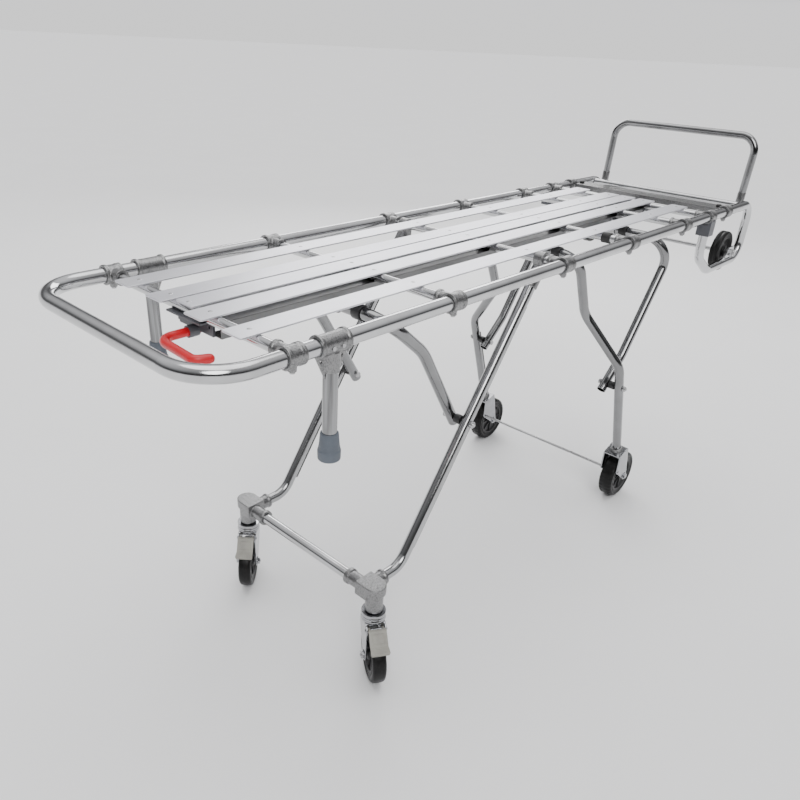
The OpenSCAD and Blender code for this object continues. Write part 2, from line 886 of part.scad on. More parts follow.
module caster_tyre_near() {
    color("#181818") at_caster(-1) translate([-trail, 0, wheel_r]) wheel_tyre(wheel_r, wheel_w);
}

module caster_tyre_far() {
    color("#181818") at_caster(1) translate([-trail, 0, wheel_r]) wheel_tyre(wheel_r, wheel_w);
}

pedal_w = 40;

// Stepped foot pedal that turns on a pin through the fork
module brake_pedal(side) {
    color("#c8c4b8") at_caster(side) difference() {
        union() {
            rotate([90, 0, 0]) linear_extrude(pedal_w, center = true)
                polygon([[-38, 150], [-44, 149], [-64, 125], [-80, 115], [-77.5, 111.5],
                         [-61, 121.5], [-42.5, 144.5], [-38, 145]]);
            for (s = [-1, 1]) translate([0, s * 15.5, 0]) rotate([90, 0, 0])
                linear_extrude(5, center = true) {
                polygon([[-44, 147], [-38, 150], pedal_pin + [0, 5.5], pedal_pin - [0, 5.5], [-45, 141]]);
                translate(pedal_pin) circle(r = 5.5);
            }
        }
        cross_rod(pedal_pin, -30, 30, 2.5 + run);
    }
}

module brake_pedal_near() {
    brake_pedal(-1);
}

module brake_pedal_far() {
    brake_pedal(1);
}

// ---- Head-end brace (set C) ----

brace_b_bend = [421, 480];

module brace_b_tube() {
    y = -brace_b_y;
    tail = leg_c_pin + 25 * (leg_c_pin - brace_b_bend) / norm(leg_c_pin - brace_b_bend);
    color("silver") difference() {
        bent_tube(
            u_path([[tail[0], y, tail[1]], [brace_b_bend[0], y, brace_b_bend[1]], [580, y, 721],
                    [brace_b_top[0], y, brace_b_top[1]]]),
            u_radii([0, 80, 36, crossbar_bend]), leg_od);
        cross_rod(leg_c_pin, -rail_half, rail_half, pivot_r + run);
    }
}

strip_b_z = [691, 606];

// Crossbar bushes, and a short strip on the +X side of each brace tube
module brace_b_bushes() {
    slope = (580 - brace_b_bend[0]) / (721 - brace_b_bend[1]);
    x0 = brace_b_bend[0] + slope * (strip_b_z[0] - brace_b_bend[1]);
    x1 = brace_b_bend[0] + slope * (strip_b_z[1] - brace_b_bend[1]);
    color("#202020") {
        crossbar_bushes(brace_b_top);
        both_sides() strip([x0, -brace_b_y, strip_b_z[0]], [x1, -brace_b_y, strip_b_z[1]]);
    }
}

// ---- Head-end legs (set C) ----

leg_c_knee = [265, 626];
leg_c_ankle = [324, 483];
leg_c_foot = rear_fork_at + 0.1 * [-sin(rear_tilt), cos(rear_tilt)];

module leg_c_tube() {
    color("silver") difference() {
        bent_tube(
            u_path([[leg_c_foot[0], -leg_c_y, leg_c_foot[1]], [leg_c_ankle[0], -leg_c_y, leg_c_ankle[1]],
                    [leg_c_knee[0], -leg_c_upper_y, leg_c_knee[1]],
                    [leg_c_top[0], -leg_c_upper_y, leg_c_top[1]]]),
            u_radii([0, 75, 75, 52]), leg_od);
        cross_rod(leg_c_pin, -rail_half - 10, rail_half + 10, pivot_r + press);
    }
}

module leg_c_bushes() {
    color("#202020") {
        crossbar_bushes(leg_c_top);
        both_sides() pivot_spacer(leg_c_pin, brace_b_y + leg_r + 0.4, leg_c_y - leg_r - 0.1);
    }
}

strip_c_z = [426, 206];

module leg_c_strips() {
    slope = (leg_c_foot[0] - leg_c_ankle[0]) / (leg_c_foot[1] - leg_c_ankle[1]);
    x0 = leg_c_ankle[0] + slope * (strip_c_z[0] - leg_c_ankle[1]);
    x1 = leg_c_ankle[0] + slope * (strip_c_z[1] - leg_c_ankle[1]);
    color("#202020") both_sides() strip([x0, -leg_c_y, strip_c_z[0]], [x1, -leg_c_y, strip_c_z[1]]);
}

module leg_c_pivot_bolts() {
    color("gray") both_sides() pivot_bolt(leg_c_pin, brace_b_y - leg_r, leg_c_y + leg_r);
}

rear_gap = rear_wheel_w / 2 + 3;
tie_rod = [-39.3, -53.2];
tie_r = 4;

// Children, drawn in line with the leg below the origin, placed under its lower end
module at_rear_fork() {
    translate([rear_fork_at[0], -leg_c_y, rear_fork_at[1]]) rotate([0, -rear_tilt, 0]) children();
}

// Wheel forks: a top plate with a collar for the leg, two tapering side plates, the axle and its nuts
module rear_forks() {
    half = rear_gap + fork_t;
    color("gainsboro") both_sides() at_rear_fork() {
        difference() {
            union() {
                translate([-28, -half, -5]) cube([50, 2 * half, 5]);
                cylinder(r = leg_r + 3, h = 9);
                for (s = [-1, 1])
                    translate([0, s * (rear_gap + fork_t / 2), 0]) rotate([90, 0, 0])
                        linear_extrude(fork_t, center = true) {
                            polygon([[-28, -1], [22, -1], [21, -32], [13, -rear_reach],
                                     [-13, -rear_reach], tie_rod + [-8, 0]]);
                            translate([0, -rear_reach]) circle(r = 13);
                            translate(tie_rod) circle(r = 8);
                        }
            }
            cylinder(r = leg_r + press, h = 20);
            cross_rod([0, -rear_reach], -60, 60, axle_r + press);
            cross_rod(tie_rod, -60, 60, tie_r + press);
        }
        cross_rod([0, -rear_reach], -half - 5, half + 5, axle_r);
        for (s = [-1, 1])
            translate([0, s * (half + 3), -rear_reach]) rotate([90, 0, 0])
                cylinder(r = 7.5, h = 5.8, center = true, $fn = 6);
    }
}

module rear_tie_rod() {
    end = leg_c_y - rear_gap - 0.5;
    color("silver") at_rear_fork() cross_rod(tie_rod, leg_c_y - end, leg_c_y + end, tie_r);
}

module carriage_c() {
    carriage(leg_c_top);
}

module rear_hub_near() {
    color("#303030") at_rear_fork() translate([0, 0, -rear_reach]) wheel_hub(rear_wheel_r, rear_wheel_w);
}

module rear_hub_far() {
    mirror([0, 1, 0]) rear_hub_near();
}

module rear_tyre_near() {
    color("#181818") at_rear_fork() translate([0, 0, -rear_reach]) wheel_tyre(rear_wheel_r, rear_wheel_w);
}

module rear_tyre_far() {
    mirror([0, 1, 0]) rear_tyre_near();
}

foot_tube();
rail_near();
rail_far();
cross_tubes();
sleeve_castings();
post_saddles();
support_posts();
rubber_tips();
slats();
rivets();
slide_track();
track_bolts();
track_end_bracket();
brace_hinge_brackets();
end_bar();
bumpers();
wheel_loop_near();
wheel_loop_far();
loop_connectors();
loading_axle();
loading_wheel_near();
loading_wheel_far();
handle_pivots();
head_handle();
handle_sleeves();
release_handle();
frame_screws();
stop_clips();
leg_a_clamps();
leg_a_tubes();
leg_a_cross_tube();
corner_castings();
leg_a_strips();
leg_a_pivot_bolts();
leg_a_spacers();
caster_stems();
brace_d_tube();
brace_d_bushes();
carriage_d();
caster_fork_near();
caster_fork_far();
caster_hub_near();
caster_hub_far();
caster_tyre_near();
caster_tyre_far();
brake_pedal_near();
brake_pedal_far();
brace_b_tube();
brace_b_bushes();
leg_c_tube();
leg_c_bushes();
leg_c_strips();
leg_c_pivot_bolts();
rear_forks();
rear_tie_rod();
carriage_c();
rear_hub_near();
rear_hub_far();
rear_tyre_near();
rear_tyre_far();
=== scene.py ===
"""Looks of the folding stretcher trolley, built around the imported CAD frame.

Units are metres. +X is the head end, -Y the near side, and the floor is z = 0.
"""
import json
import math

import bmesh
import bpy
from mathutils import Matrix, Vector

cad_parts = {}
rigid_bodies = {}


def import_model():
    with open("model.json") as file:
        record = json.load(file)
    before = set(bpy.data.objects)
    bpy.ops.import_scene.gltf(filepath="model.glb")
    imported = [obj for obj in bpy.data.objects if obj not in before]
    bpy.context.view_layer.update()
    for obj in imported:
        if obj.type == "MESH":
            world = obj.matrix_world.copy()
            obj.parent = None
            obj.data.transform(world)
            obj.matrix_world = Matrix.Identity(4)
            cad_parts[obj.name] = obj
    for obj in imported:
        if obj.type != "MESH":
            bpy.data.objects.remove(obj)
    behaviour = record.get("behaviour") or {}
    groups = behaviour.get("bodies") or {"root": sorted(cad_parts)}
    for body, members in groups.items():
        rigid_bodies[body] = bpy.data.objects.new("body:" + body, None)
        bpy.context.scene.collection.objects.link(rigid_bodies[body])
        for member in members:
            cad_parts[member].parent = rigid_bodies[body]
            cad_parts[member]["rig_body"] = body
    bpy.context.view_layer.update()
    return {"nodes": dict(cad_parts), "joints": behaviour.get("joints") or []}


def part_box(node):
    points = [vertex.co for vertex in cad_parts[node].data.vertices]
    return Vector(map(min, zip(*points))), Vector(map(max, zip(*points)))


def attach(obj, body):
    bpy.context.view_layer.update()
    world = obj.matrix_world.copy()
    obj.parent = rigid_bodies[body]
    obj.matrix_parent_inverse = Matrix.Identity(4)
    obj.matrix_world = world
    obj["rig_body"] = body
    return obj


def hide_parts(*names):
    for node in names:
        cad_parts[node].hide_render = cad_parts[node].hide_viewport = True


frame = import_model()
nodes = frame["nodes"]
joints = {j["name"]: j for j in frame["joints"]}
MM = 0.001
UP = Vector((0, 0, 1))
SIDES = ("near", "far")

# Wheel radii and widths
CASTOR_R, CASTOR_W = 0.0635, 0.032
REAR_R, REAR_W = 0.075, 0.042
LOADING_R, LOADING_W = 0.062, 0.028


# ---------------------------------------------------------------- materials

class Look:
    """A procedural material: one principled shader with small helpers for the nodes that feed it."""

    def __init__(self, name, base, metallic, roughness):
        self.material = bpy.data.materials.new(name)
        self.material.use_nodes = True
        self.tree = self.material.node_tree
        self.shader = self.tree.nodes["Principled BSDF"]
        self.shader.inputs["Base Color"].default_value = (*base, 1)
        self.shader.inputs["Metallic"].default_value = metallic
        self.shader.inputs["Roughness"].default_value = roughness
        self.base = base

    def add(self, kind):
        return self.tree.nodes.new(kind)

    def link(self, a, b):
        self.tree.links.new(a, b)

    def noise(self, size, stretch=(1, 1, 1), detail=4, rough=0.55):
        """Noise with features of about size metres, drawn out by stretch along each axis."""
        where = self.add("ShaderNodeTexCoord")
        scale = self.add("ShaderNodeMapping")
        scale.inputs["Scale"].default_value = [1 / (size * s) for s in stretch]
        grain = self.add("ShaderNodeTexNoise")
        grain.inputs["Scale"].default_value = 1
        grain.inputs["Detail"].default_value = detail
        grain.inputs["Roughness"].default_value = rough
        self.link(where.outputs["Object"], scale.inputs["Vector"])
        self.link(scale.outputs["Vector"], grain.inputs["Vector"])
        return grain.outputs["Fac"]

    def colour(self, source, other, start=0.35, end=0.65):
        """Blends the base colour toward another one."""
        ramp = self.add("ShaderNodeValToRGB")
        ramp.color_ramp.elements[0].position = start
        ramp.color_ramp.elements[0].color = (*self.base, 1)
        ramp.color_ramp.elements[1].position = end
        ramp.color_ramp.elements[1].color = (*other, 1)
        self.link(source, ramp.inputs["Fac"])
        self.link(ramp.outputs["Color"], self.shader.inputs["Base Color"])

    def roughness(self, source, low, high):
        """Maps the middle part of a 0 to 1 value onto a roughness from low to high."""
        node = self.add("ShaderNodeMapRange")
        node.inputs["From Min"].default_value = 0.3
        node.inputs["From Max"].default_value = 0.7
        node.inputs["To Min"].default_value = low
        node.inputs["To Max"].default_value = high
        self.link(source, node.inputs["Value"])
        self.link(node.outputs["Result"], self.shader.inputs["Roughness"])

    def bump(self, source, height):
        """Raises the surface by up to height metres where the source is 1."""
        node = self.add("ShaderNodeBump")
        node.inputs["Strength"].default_value = 1
        node.inputs["Distance"].default_value = height
        self.link(source, node.inputs["Height"])
        self.link(node.outputs["Normal"], self.shader.inputs["Normal"])


# How far a tube's draw lines, and the posts' painted reflection bands, are stretched along its axis
AXES = {"x": (30, 1, 1), "y": (1, 30, 1), "z": (1, 1, 30)}


def drawn_tube(name, axis, shade, haze_and_painted_reflection_dark=0.84, haze_and_painted_reflection_size=0.09, stretch=(1, 1, 1)):
    """Polished aluminium tube with fine draw lines along one axis, and a soft haze or broader dark bands of
    painted reflection.
    """
    # The shade argument is painted shade: the same polished aluminium gets a darker base colour on the
    # braces, legs and posts than on the rails and cross tubes.
    look = Look("polished_tube_" + name, (shade, 1.008 * shade, 1.025 * shade), 1, 0.14)
    lines = look.noise(0.0012, AXES[axis], 3)
    # Haze colour: a faint tone change, which becomes long dark bands of painted reflection when its dark
    # end is strong and it is stretched.
    haze_and_painted_reflection = look.noise(haze_and_painted_reflection_size, stretch, 3)
    look.colour(haze_and_painted_reflection, (haze_and_painted_reflection_dark * shade, haze_and_painted_reflection_dark * shade, 1.01 * haze_and_painted_reflection_dark * shade))
    look.roughness(haze_and_painted_reflection, 0.10, 0.19)
    look.bump(lines, 0.000012)
    return look.material


def slat_finish():
    """Satin aluminium strip: fine brushing along its length and slow cloudy variation."""
    look = Look("satin_slat", (0.80, 0.80, 0.84), 1, 0.42)
    brush = look.noise(0.0006, (60, 1, 1), 4)
    cloud = look.noise(0.12, (2, 1, 1), 3)
    look.colour(cloud, (0.72, 0.72, 0.765))
    look.roughness(brush, 0.36, 0.50)
    look.bump(brush, 0.00002)
    return look.material


def casting_finish():
    """Tumbled aluminium casting: a fine grain with small dark specks."""
    look = Look("cast_aluminium", (0.28, 0.28, 0.28), 1, 0.3)
    patch = look.noise(0.0026, detail=4, rough=0.6)
    grain = look.noise(0.0011, detail=6, rough=0.7)
    look.colour(patch, (0.12, 0.12, 0.125), 0.48, 0.70)
    look.roughness(grain, 0.20, 0.42)
    look.bump(grain, 0.00026)
    return look.material


def channel_finish():
    """Grey extruded channel with die lines along its length."""
    look = Look("track_channel", (0.24, 0.24, 0.24), 1, 0.36)
    lines = look.noise(0.0022, (80, 1, 1), 3)
    cloud = look.noise(0.15, (3, 1, 1), 3)
    look.colour(cloud, (0.17, 0.17, 0.17))
    look.roughness(lines, 0.28, 0.46)
    look.bump(lines, 0.00003)
    return look.material


def plated(name, base, low, high, size=0.02):
    """Plated or zinc-coated steel with slightly uneven gloss and a faint orange-peel."""
    look = Look(name, base, 1, low)
    cloud = look.noise(size, detail=4)
    peel = look.noise(0.003, detail=2)
    look.colour(cloud, tuple(0.86 * c for c in base))
    look.roughness(cloud, low, high)
    look.bump(peel, 0.00003)
    return look.material


def painted(name, base, rough, grain_height, grain=0.0012):
    """A non-metal with a grained surface: powder coat, nylon, moulded plastic or rubber."""
    look = Look(name, base, 0, rough)
    cloud = look.noise(0.03, detail=4)
    fine = look.noise(grain, detail=4, rough=0.65)
    look.colour(cloud, tuple(min(1, 0.75 * c + 0.012) for c in base))
    look.roughness(fine, max(rough - 0.08, 0.05), rough + 0.08)
    look.bump(fine, grain_height)
    return look.material


def red_dip():
    """Dipped vinyl: satin red with a slow ripple from the dipping."""
    look = Look("red_dip", (0.60, 0.006, 0.014), 0, 0.34)
    ripple = look.noise(0.018, detail=2)
    look.colour(ripple, (0.54, 0.005, 0.012))
    look.roughness(look.noise(0.004), 0.30, 0.40)
    look.bump(ripple, 0.0003)
    look.shader.inputs["Coat Weight"].default_value = 0.1
    return look.material


def tyre_rubber():
    """Moulded black tyre: slightly glossy, with greyer scuffs and a fine grain."""
    look = Look("tyre_rubber", (0.008, 0.008, 0.008), 0, 0.34)
    scuff = look.noise(0.006, detail=6, rough=0.7)
    fine = look.noise(0.0008, detail=3)
    look.colour(scuff, (0.022, 0.021, 0.020), 0.5, 0.8)
    look.roughness(scuff, 0.25, 0.44)
    look.shader.inputs["Specular IOR Level"].default_value = 0.2
    look.bump(fine, 0.00006)
    return look.material


LOOKS = {
    # Tube tones are painted shade: one polished aluminium, darker on braces, posts and legs than on rails
    # and cross tubes.
    "tube_x": drawn_tube("rail", "x", 0.62),
    "tube_y": drawn_tube("cross", "y", 0.58),
    "tube_z": drawn_tube("brace", "z", 0.28),
    "tube_leg": drawn_tube("leg", "z", 0.46),
    # The posts' long dark bands are painted reflection: dark surroundings mirrored in the tube, painted
    # into its colour.
    "tube_post": drawn_tube("post", "z", 0.34, 0.42, 0.007, AXES["z"]),
    "slat": slat_finish(),
    "casting": casting_finish(),
    "channel": channel_finish(),
    "chrome": plated("bright_chrome", (0.42, 0.425, 0.44), 0.08, 0.18),
    "steel": plated("zinc_steel", (0.48, 0.48, 0.485), 0.2, 0.38),
    "brass": plated("dull_brass", (0.45, 0.33, 0.14), 0.28, 0.5),
    "dark_steel": painted("dark_coat", (0.085, 0.088, 0.10), 0.4, 0.00006),
    "tip_rubber": painted("grey_rubber", (0.115, 0.135, 0.165), 0.55, 0.00008),
    "black_rubber": painted("black_rubber", (0.012, 0.012, 0.012), 0.55, 0.00008),
    "black_nylon": painted("black_nylon", (0.014, 0.014, 0.015), 0.38, 0.00004),
    "pedal": painted("pedal_plastic", (0.36, 0.35, 0.31), 0.45, 0.00005, 0.002),
    "red_dip": red_dip(),
    "tyre": tyre_rubber(),
}


# ---------------------------------------------------------------- mesh helpers

def frame_at(origin, z_axis, x_hint=None):
    """A placing matrix whose Z runs along z_axis, with X as near to x_hint as it can be."""
    z = Vector(z_axis).normalized()
    hint = Vector(x_hint) if x_hint is not None else (Vector((1, 0, 0)) if abs(z.x) < 0.9 else UP)
    x = (hint - z * hint.dot(z)).normalized()
    y = z.cross(x)
    m = Matrix((x, y, z)).transposed().to_4x4()
    m.translation = Vector(origin)
    return m


def rounded(points, radii):
    """An open outline in 2D or 3D with each inner corner rounded to its own radius."""
    pts = [Vector(p).to_3d() if len(p) == 2 else Vector(p) for p in points]
    out = [pts[0]]
    for i in range(1, len(pts) - 1):
        r = radii[i]
        u, v = (pts[i - 1] - pts[i]), (pts[i + 1] - pts[i])
        reach = min(u.length, v.length) * 0.49
        u.normalize()
        v.normalize()
        half = u.angle(v) / 2
        if r <= 0 or half > math.pi / 2 - 0.02:
            out.append(pts[i])
            continue
        back = min(r / math.tan(half), reach)
        r = back * math.tan(half)
        centre = pts[i] + (u + v).normalized() * r / math.sin(half)
        a, b = pts[i] + u * back - centre, pts[i] + v * back - centre
        turn = math.pi - 2 * half
        steps = max(2, math.ceil(turn / math.radians(6 if r > 0.01 else 15)))
        side = (b - a * a.dot(b) / a.dot(a)).normalized() * a.length
        for k in range(steps + 1):
            t = turn * k / steps
            out.append(centre + a * math.cos(t) + side * math.sin(t))
    out.append(pts[-1])
    return out


def lathe(bm, outline, place, steps):
    """Turns an outline of (radius, height) about Z. Points on the axis close it, and so does a loop."""
    rings = []
    for p in outline:
        if p[0] < 1e-7:
            rings.append([bm.verts.new(place @ Vector((0, 0, p[1])))])
            continue
        ring = []
        for k in range(steps):
            a = 2 * math.pi * k / steps
            ring.append(bm.verts.new(place @ Vector((p[0] * math.cos(a), p[0] * math.sin(a), p[1]))))
        rings.append(ring)
    closed = (Vector(outline[0][:2]) - Vector(outline[-1][:2])).length < 1e-7 and len(rings[0]) > 1
    if closed:
        for v in rings.pop():
            bm.verts.remove(v)
    pairs = list(zip(rings, rings[1:])) + ([(rings[-1], rings[0])] if closed else [])
    for a, b in pairs:
        for k in range(steps):
            n = (k + 1) % steps
            face = [a[0] if len(a) == 1 else a[k], b[0] if len(b) == 1 else b[k]]
            if len(b) > 1:
                face.append(b[n])
            if len(a) > 1:
                face.append(a[n])
            if len(face) > 2:
                bm.faces.new(face)


def sweep(bm, path, radius, sides):
    """A round bar along a path of points, with domed ends."""
    def join(a, b):
        for k in range(sides):
            n = (k + 1) % sides
            bm.faces.new((a[k], a[n], b[n], b[k]))

    end = len(path) - 1
    tangents = [(path[min(i + 1, end)] - path[max(i - 1, 0)]).normalized() for i in range(end + 1)]
    angles = [2 * math.pi * k / sides for k in range(sides)]
    x = frame_at((0, 0, 0), tangents[0]).col[0].to_3d()
    rings = []
    for p, t in zip(path, tangents):
        x = (x - t * x.dot(t)).normalized()
        y = t.cross(x)
        rings.append([bm.verts.new(p + (x * math.cos(a) + y * math.sin(a)) * radius) for a in angles])
    for a, b in zip(rings, rings[1:]):
        join(a, b)
    caps = ((rings[0], path[0], -tangents[0], True), (rings[-1], path[-1], tangents[-1], False))
    for ring, p, t, flip in caps:
        last = ring
        for k in range(1, 4):
            a = math.pi / 2 * k / 4
            reach, waist = radius * math.sin(a), radius * math.cos(a)
            new = [bm.verts.new(p + t * reach + (v.co - p).normalized() * waist) for v in ring]
            join(new, last) if flip else join(last, new)
            last = new
        tip = bm.verts.new(p + t * radius)
        for k in range(sides):
            n = (k + 1) % sides
            bm.faces.new((last[n], last[k], tip) if flip else (last[k], last[n], tip))


def prism(bm, outline, place, depth):
    """A plate with a 2D outline, centred on its thickness."""
    low = [bm.verts.new(place @ Vector((p[0], p[1], -depth / 2))) for p in outline]
    high = [bm.verts.new(place @ Vector((p[0], p[1], depth / 2))) for p in outline]
    bm.faces.new(low[::-1])
    bm.faces.new(high)
    for k in range(len(outline)):
        n = (k + 1) % len(outline)
        bm.faces.new((low[k], low[n], high[n], high[k]))


def closed_round(points, radius):
    """A closed 2D outline with every corner rounded."""
    count = len(points)
    out = []
    for i in range(count):
        out += rounded([points[i - 1], points[i], points[(i + 1) % count]], [0, radius, 0])[1:-1]
    return out


def arc(cx, cy, r, a0, a1, steps):
    """Points along an arc from a0 to a1 degrees."""
    return [(cx + r * math.cos(math.radians(a0 + (a1 - a0) * k / steps)),
             cy + r * math.sin(math.radians(a0 + (a1 - a0) * k / steps))) for k in range(steps + 1)]


def block(bm, low, high, place):
    """A box between two corners, put in its place."""
    c = (Vector(low) + Vector(high)) / 2
    s = Vector(high) - Vector(low)
    bmesh.ops.create_cube(bm, size=1, matrix=place @ Matrix.Translation(c) @ Matrix.Diagonal((*s, 1)))


def hex_nut(bm, place, across, height, bore):
    """A chamfered hexagon nut standing on its place."""
    r = across / math.sqrt(3)
    outline = [(r * math.cos(math.radians(60 * k)), r * math.sin(math.radians(60 * k))) for k in range(6)]
    prism(bm, outline, place @ Matrix.Translation((0, 0, height / 2)), height)
    top, low = height + 0.0002, height - 0.0006
    lathe(bm, [(bore, top), (across / 2 * 0.92, top), (across / 2 * 0.98, low), (bore, low), (bore, top)],
          place, 32)


# Bore radius of what sits on an 8 mm axle, and a washer's thickness
BORE_R = 0.0042
WASHER_T = 0.0016


def washer(bm, place, radius):
    """A flat washer with an eased rim."""
    lathe(bm, [(BORE_R, 0), (radius - 0.0004, 0), (radius, 0.0004), (radius - 0.0002, 0.0014),
               (BORE_R, WASHER_T), (BORE_R, 0)], place, 40)


def weld(piece):
    """Merges the doubled vertices of a CAD mesh."""
    piece.modifiers.new("weld", "WELD").merge_threshold = 0.00002


def break_edges(piece, width, segments, angle):
    """Bevels every edge sharper than the angle."""
    edges = piece.modifiers.new("edges", "BEVEL")
    edges.width = width
    edges.segments = segments
    edges.limit_method = "ANGLE"
    edges.angle_limit = math.radians(angle)


def finish_piece(name, bm, body, look, bevel=0.0, segments=2, angle=35, replaced=()):
    """Makes the object, gives it its bevel, material and body, and hides the CAD nodes it replaces."""
    bmesh.ops.recalc_face_normals(bm, faces=bm.faces)
    mesh = bpy.data.meshes.new(name)
    bm.to_mesh(mesh)
    bm.free()
    piece = bpy.data.objects.new(name, mesh)
    bpy.context.scene.collection.objects.link(piece)
    if bevel:
        break_edges(piece, bevel, segments, angle)
    mesh.materials.append(LOOKS[look])
    mesh.shade_smooth()
    mesh.set_sharp_from_angle(angle=math.radians(angle))
    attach(piece, body)
    if replaced:
        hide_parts(*replaced)
    return piece


# ---------------------------------------------------------------- CAD nodes

LOOK_OF_NODE = {
    "foot_tube": "tube_y", "rail_near": "tube_x", "rail_far": "tube_x", "cross_tubes": "tube_y",
    "sleeve_castings": "casting", "post_saddles": "casting", "support_posts": "tube_post",
    "rubber_tips": "tip_rubber", "slats": "slat", "rivets": "steel", "slide_track": "channel",
    "track_bolts": "brass", "track_end_bracket": "dark_steel", "brace_hinge_brackets": "steel",
    "end_bar": "casting", "bumpers": "black_rubber", "wheel_loop_near": "tube_x",
    "wheel_loop_far": "tube_x", "loop_connectors": "dark_steel", "loading_axle": "steel",
    "loading_wheel_near": "tyre", "loading_wheel_far": "tyre", "handle_pivots": "steel",
    "head_handle": "tube_z", "handle_sleeves": "casting", "release_handle": "red_dip",
    "frame_screws": "steel", "stop_clips": "chrome", "leg_a_clamps": "casting",
    "leg_a_tubes": "tube_leg", "leg_a_cross_tube": "tube_y", "corner_castings": "casting",
    "leg_a_strips": "black_rubber", "leg_a_pivot_bolts": "steel", "leg_a_spacers": "black_nylon",
    "caster_stems": "chrome", "brace_d_tube": "tube_z", "brace_d_bushes": "black_nylon",
    "carriage_d": "black_nylon", "caster_fork_near": "chrome", "caster_fork_far": "chrome",
    "caster_hub_near": "black_nylon", "caster_hub_far": "black_nylon", "caster_tyre_near": "tyre",
    "caster_tyre_far": "tyre", "brake_pedal_near": "pedal", "brake_pedal_far": "pedal",
    "brace_b_tube": "tube_z", "brace_b_bushes": "black_rubber", "leg_c_tube": "tube_z",
    "leg_c_bushes": "black_nylon", "leg_c_strips": "black_rubber", "leg_c_pivot_bolts": "steel",
    "rear_forks": "chrome", "rear_tie_rod": "steel", "carriage_c": "black_nylon",
    "rear_hub_near": "black_nylon", "rear_hub_far": "black_nylon", "rear_tyre_near": "tyre",
    "rear_tyre_far": "tyre",
}

# Nodes whose edges are broken by a small bevel, with its width in millimetres
EDGE_OF_NODE = {
    "slide_track": 0.7, "track_end_bracket": 0.7, "brace_hinge_brackets": 0.6, "end_bar": 0.7,
    "bumpers": 0.9, "loop_connectors": 2.2, "loading_axle": 0.5, "handle_pivots": 0.5,
    "handle_sleeves": 0.7, "frame_screws": 0.6, "stop_clips": 0.5, "leg_a_strips": 1.2,
    "leg_a_pivot_bolts": 0.5, "leg_a_spacers": 0.7, "caster_stems": 0.6, "brace_d_bushes": 1.2,
    "carriage_d": 0.9, "brace_b_bushes": 1.2, "leg_c_bushes": 1.0, "leg_c_strips": 1.2,
    "leg_c_pivot_bolts": 0.5, "rear_tie_rod": 0.4, "carriage_c": 0.9, "track_bolts": 0.6,
}

for name, node in nodes.items():
    node.data.materials.clear()
    node.data.materials.append(LOOKS[LOOK_OF_NODE[name]])
    if name in EDGE_OF_NODE:
        weld(node)
        break_edges(node, EDGE_OF_NODE[name] * MM, 2, 40)


# ---------------------------------------------------------------- castings and pressings

def softened(node, look, voxel, passes):
    """A casting, pressing or moulding with filleted edges, grown from its CAD node. Voxels are in mm."""
    source = nodes[node]
    piece = bpy.data.objects.new(node + "_soft", source.data.copy())
    bpy.context.scene.collection.objects.link(piece)
    weld(piece)
    grow = piece.modifiers.new("grow", "REMESH")
    grow.mode = "VOXEL"
    grow.voxel_size = voxel * MM
    grow.use_smooth_shade = True
    ease = piece.modifiers.new("ease", "SMOOTH")
    ease.factor = 0.5
    ease.iterations = passes
    piece.data.materials.clear()
    piece.data.materials.append(LOOKS[look])
    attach(piece, source["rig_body"])
    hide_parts(node)
    return piece


for grown in (("sleeve_castings", "casting", 1.1, 2), ("post_saddles", "casting", 1.1, 2),
              ("leg_a_clamps", "casting", 1.1, 2), ("corner_castings", "casting", 1.1, 2),
              ("caster_fork_near", "chrome", 0.9, 3), ("caster_fork_far", "chrome", 0.9, 3),
              ("rear_forks", "chrome", 0.9, 4), ("brake_pedal_near", "pedal", 0.8, 4),
              ("brake_pedal_far", "pedal", 0.8, 4)):
    softened(*grown)


def castor_place(side):
    """The castor's own frame: on the floor under its swivel, rolling along X."""
    across = Vector(joints["caster_%s_roll" % side]["axis"])
    middle = Vector(joints["caster_%s_swivel" % side]["pos_m"])
    middle.z = 0
    return frame_at(middle, UP, across.cross(UP))


# From a wheel's middle plane to where the axle's washer stands on the fork
CASTOR_FORK_FACE = 0.0232
REAR_FORK_FACE = 0.0282
# From the castor's middle plane to where the pedal pin's heads stand
PIN_HEAD_FACE = 0.0231


def castor_trim(side):
    """Bright race ring with its ball groove, axle nuts with washers, and the pedal pin's heads."""
    place = castor_place(side)
    bm = bmesh.new()
    ring = [(0.0200, 0.1515), (0.0262, 0.1518), (0.0276, 0.1535), (0.0279, 0.1560), (0.0272, 0.1585),
            (0.0262, 0.1597), (0.0266, 0.1612), (0.0258, 0.1636), (0.0200, 0.1638), (0.0200, 0.1515)]
    lathe(bm, ring, place, 64)
    axle = Vector(joints["caster_%s_roll" % side]["pos_m"])
    pin = Vector(joints["pedal_%s_press" % side]["pos_m"])
    across = Vector(joints["caster_%s_roll" % side]["axis"])
    for s in (-1, 1):
        out = frame_at(axle + across * s * CASTOR_FORK_FACE, across * s, UP)
        washer(bm, out, 0.0112)
        hex_nut(bm, out @ Matrix.Translation((0, 0, WASHER_T)), 0.0145, 0.0048, 0.0036)
        dome = [(0.0, 0.0086), (0.0020, 0.0083), (0.0036, 0.0070), (0.0038, 0.0040), (0.0, 0.0040)]
        lathe(bm, dome, out, 24)
        head = frame_at(pin + across * s * PIN_HEAD_FACE, across * s, UP)
        lathe(bm, [(0.0, 0.0022), (0.0020, 0.0020), (0.0034, 0.0011), (0.0038, 0), (0, 0)], head, 24)
    finish_piece("castor_trim_" + side, bm, "caster_" + side, "chrome", 0.0003, 2, 40)


# Corners of the pedal's upper face in the castor's own frame
PEDAL_TOE = Vector((-80, 0, 115)) * MM
PEDAL_HEEL = Vector((-64, 0, 125)) * MM
PEDAL_CREST = Vector((-44, 0, 149)) * MM
RIB_R = 0.0008


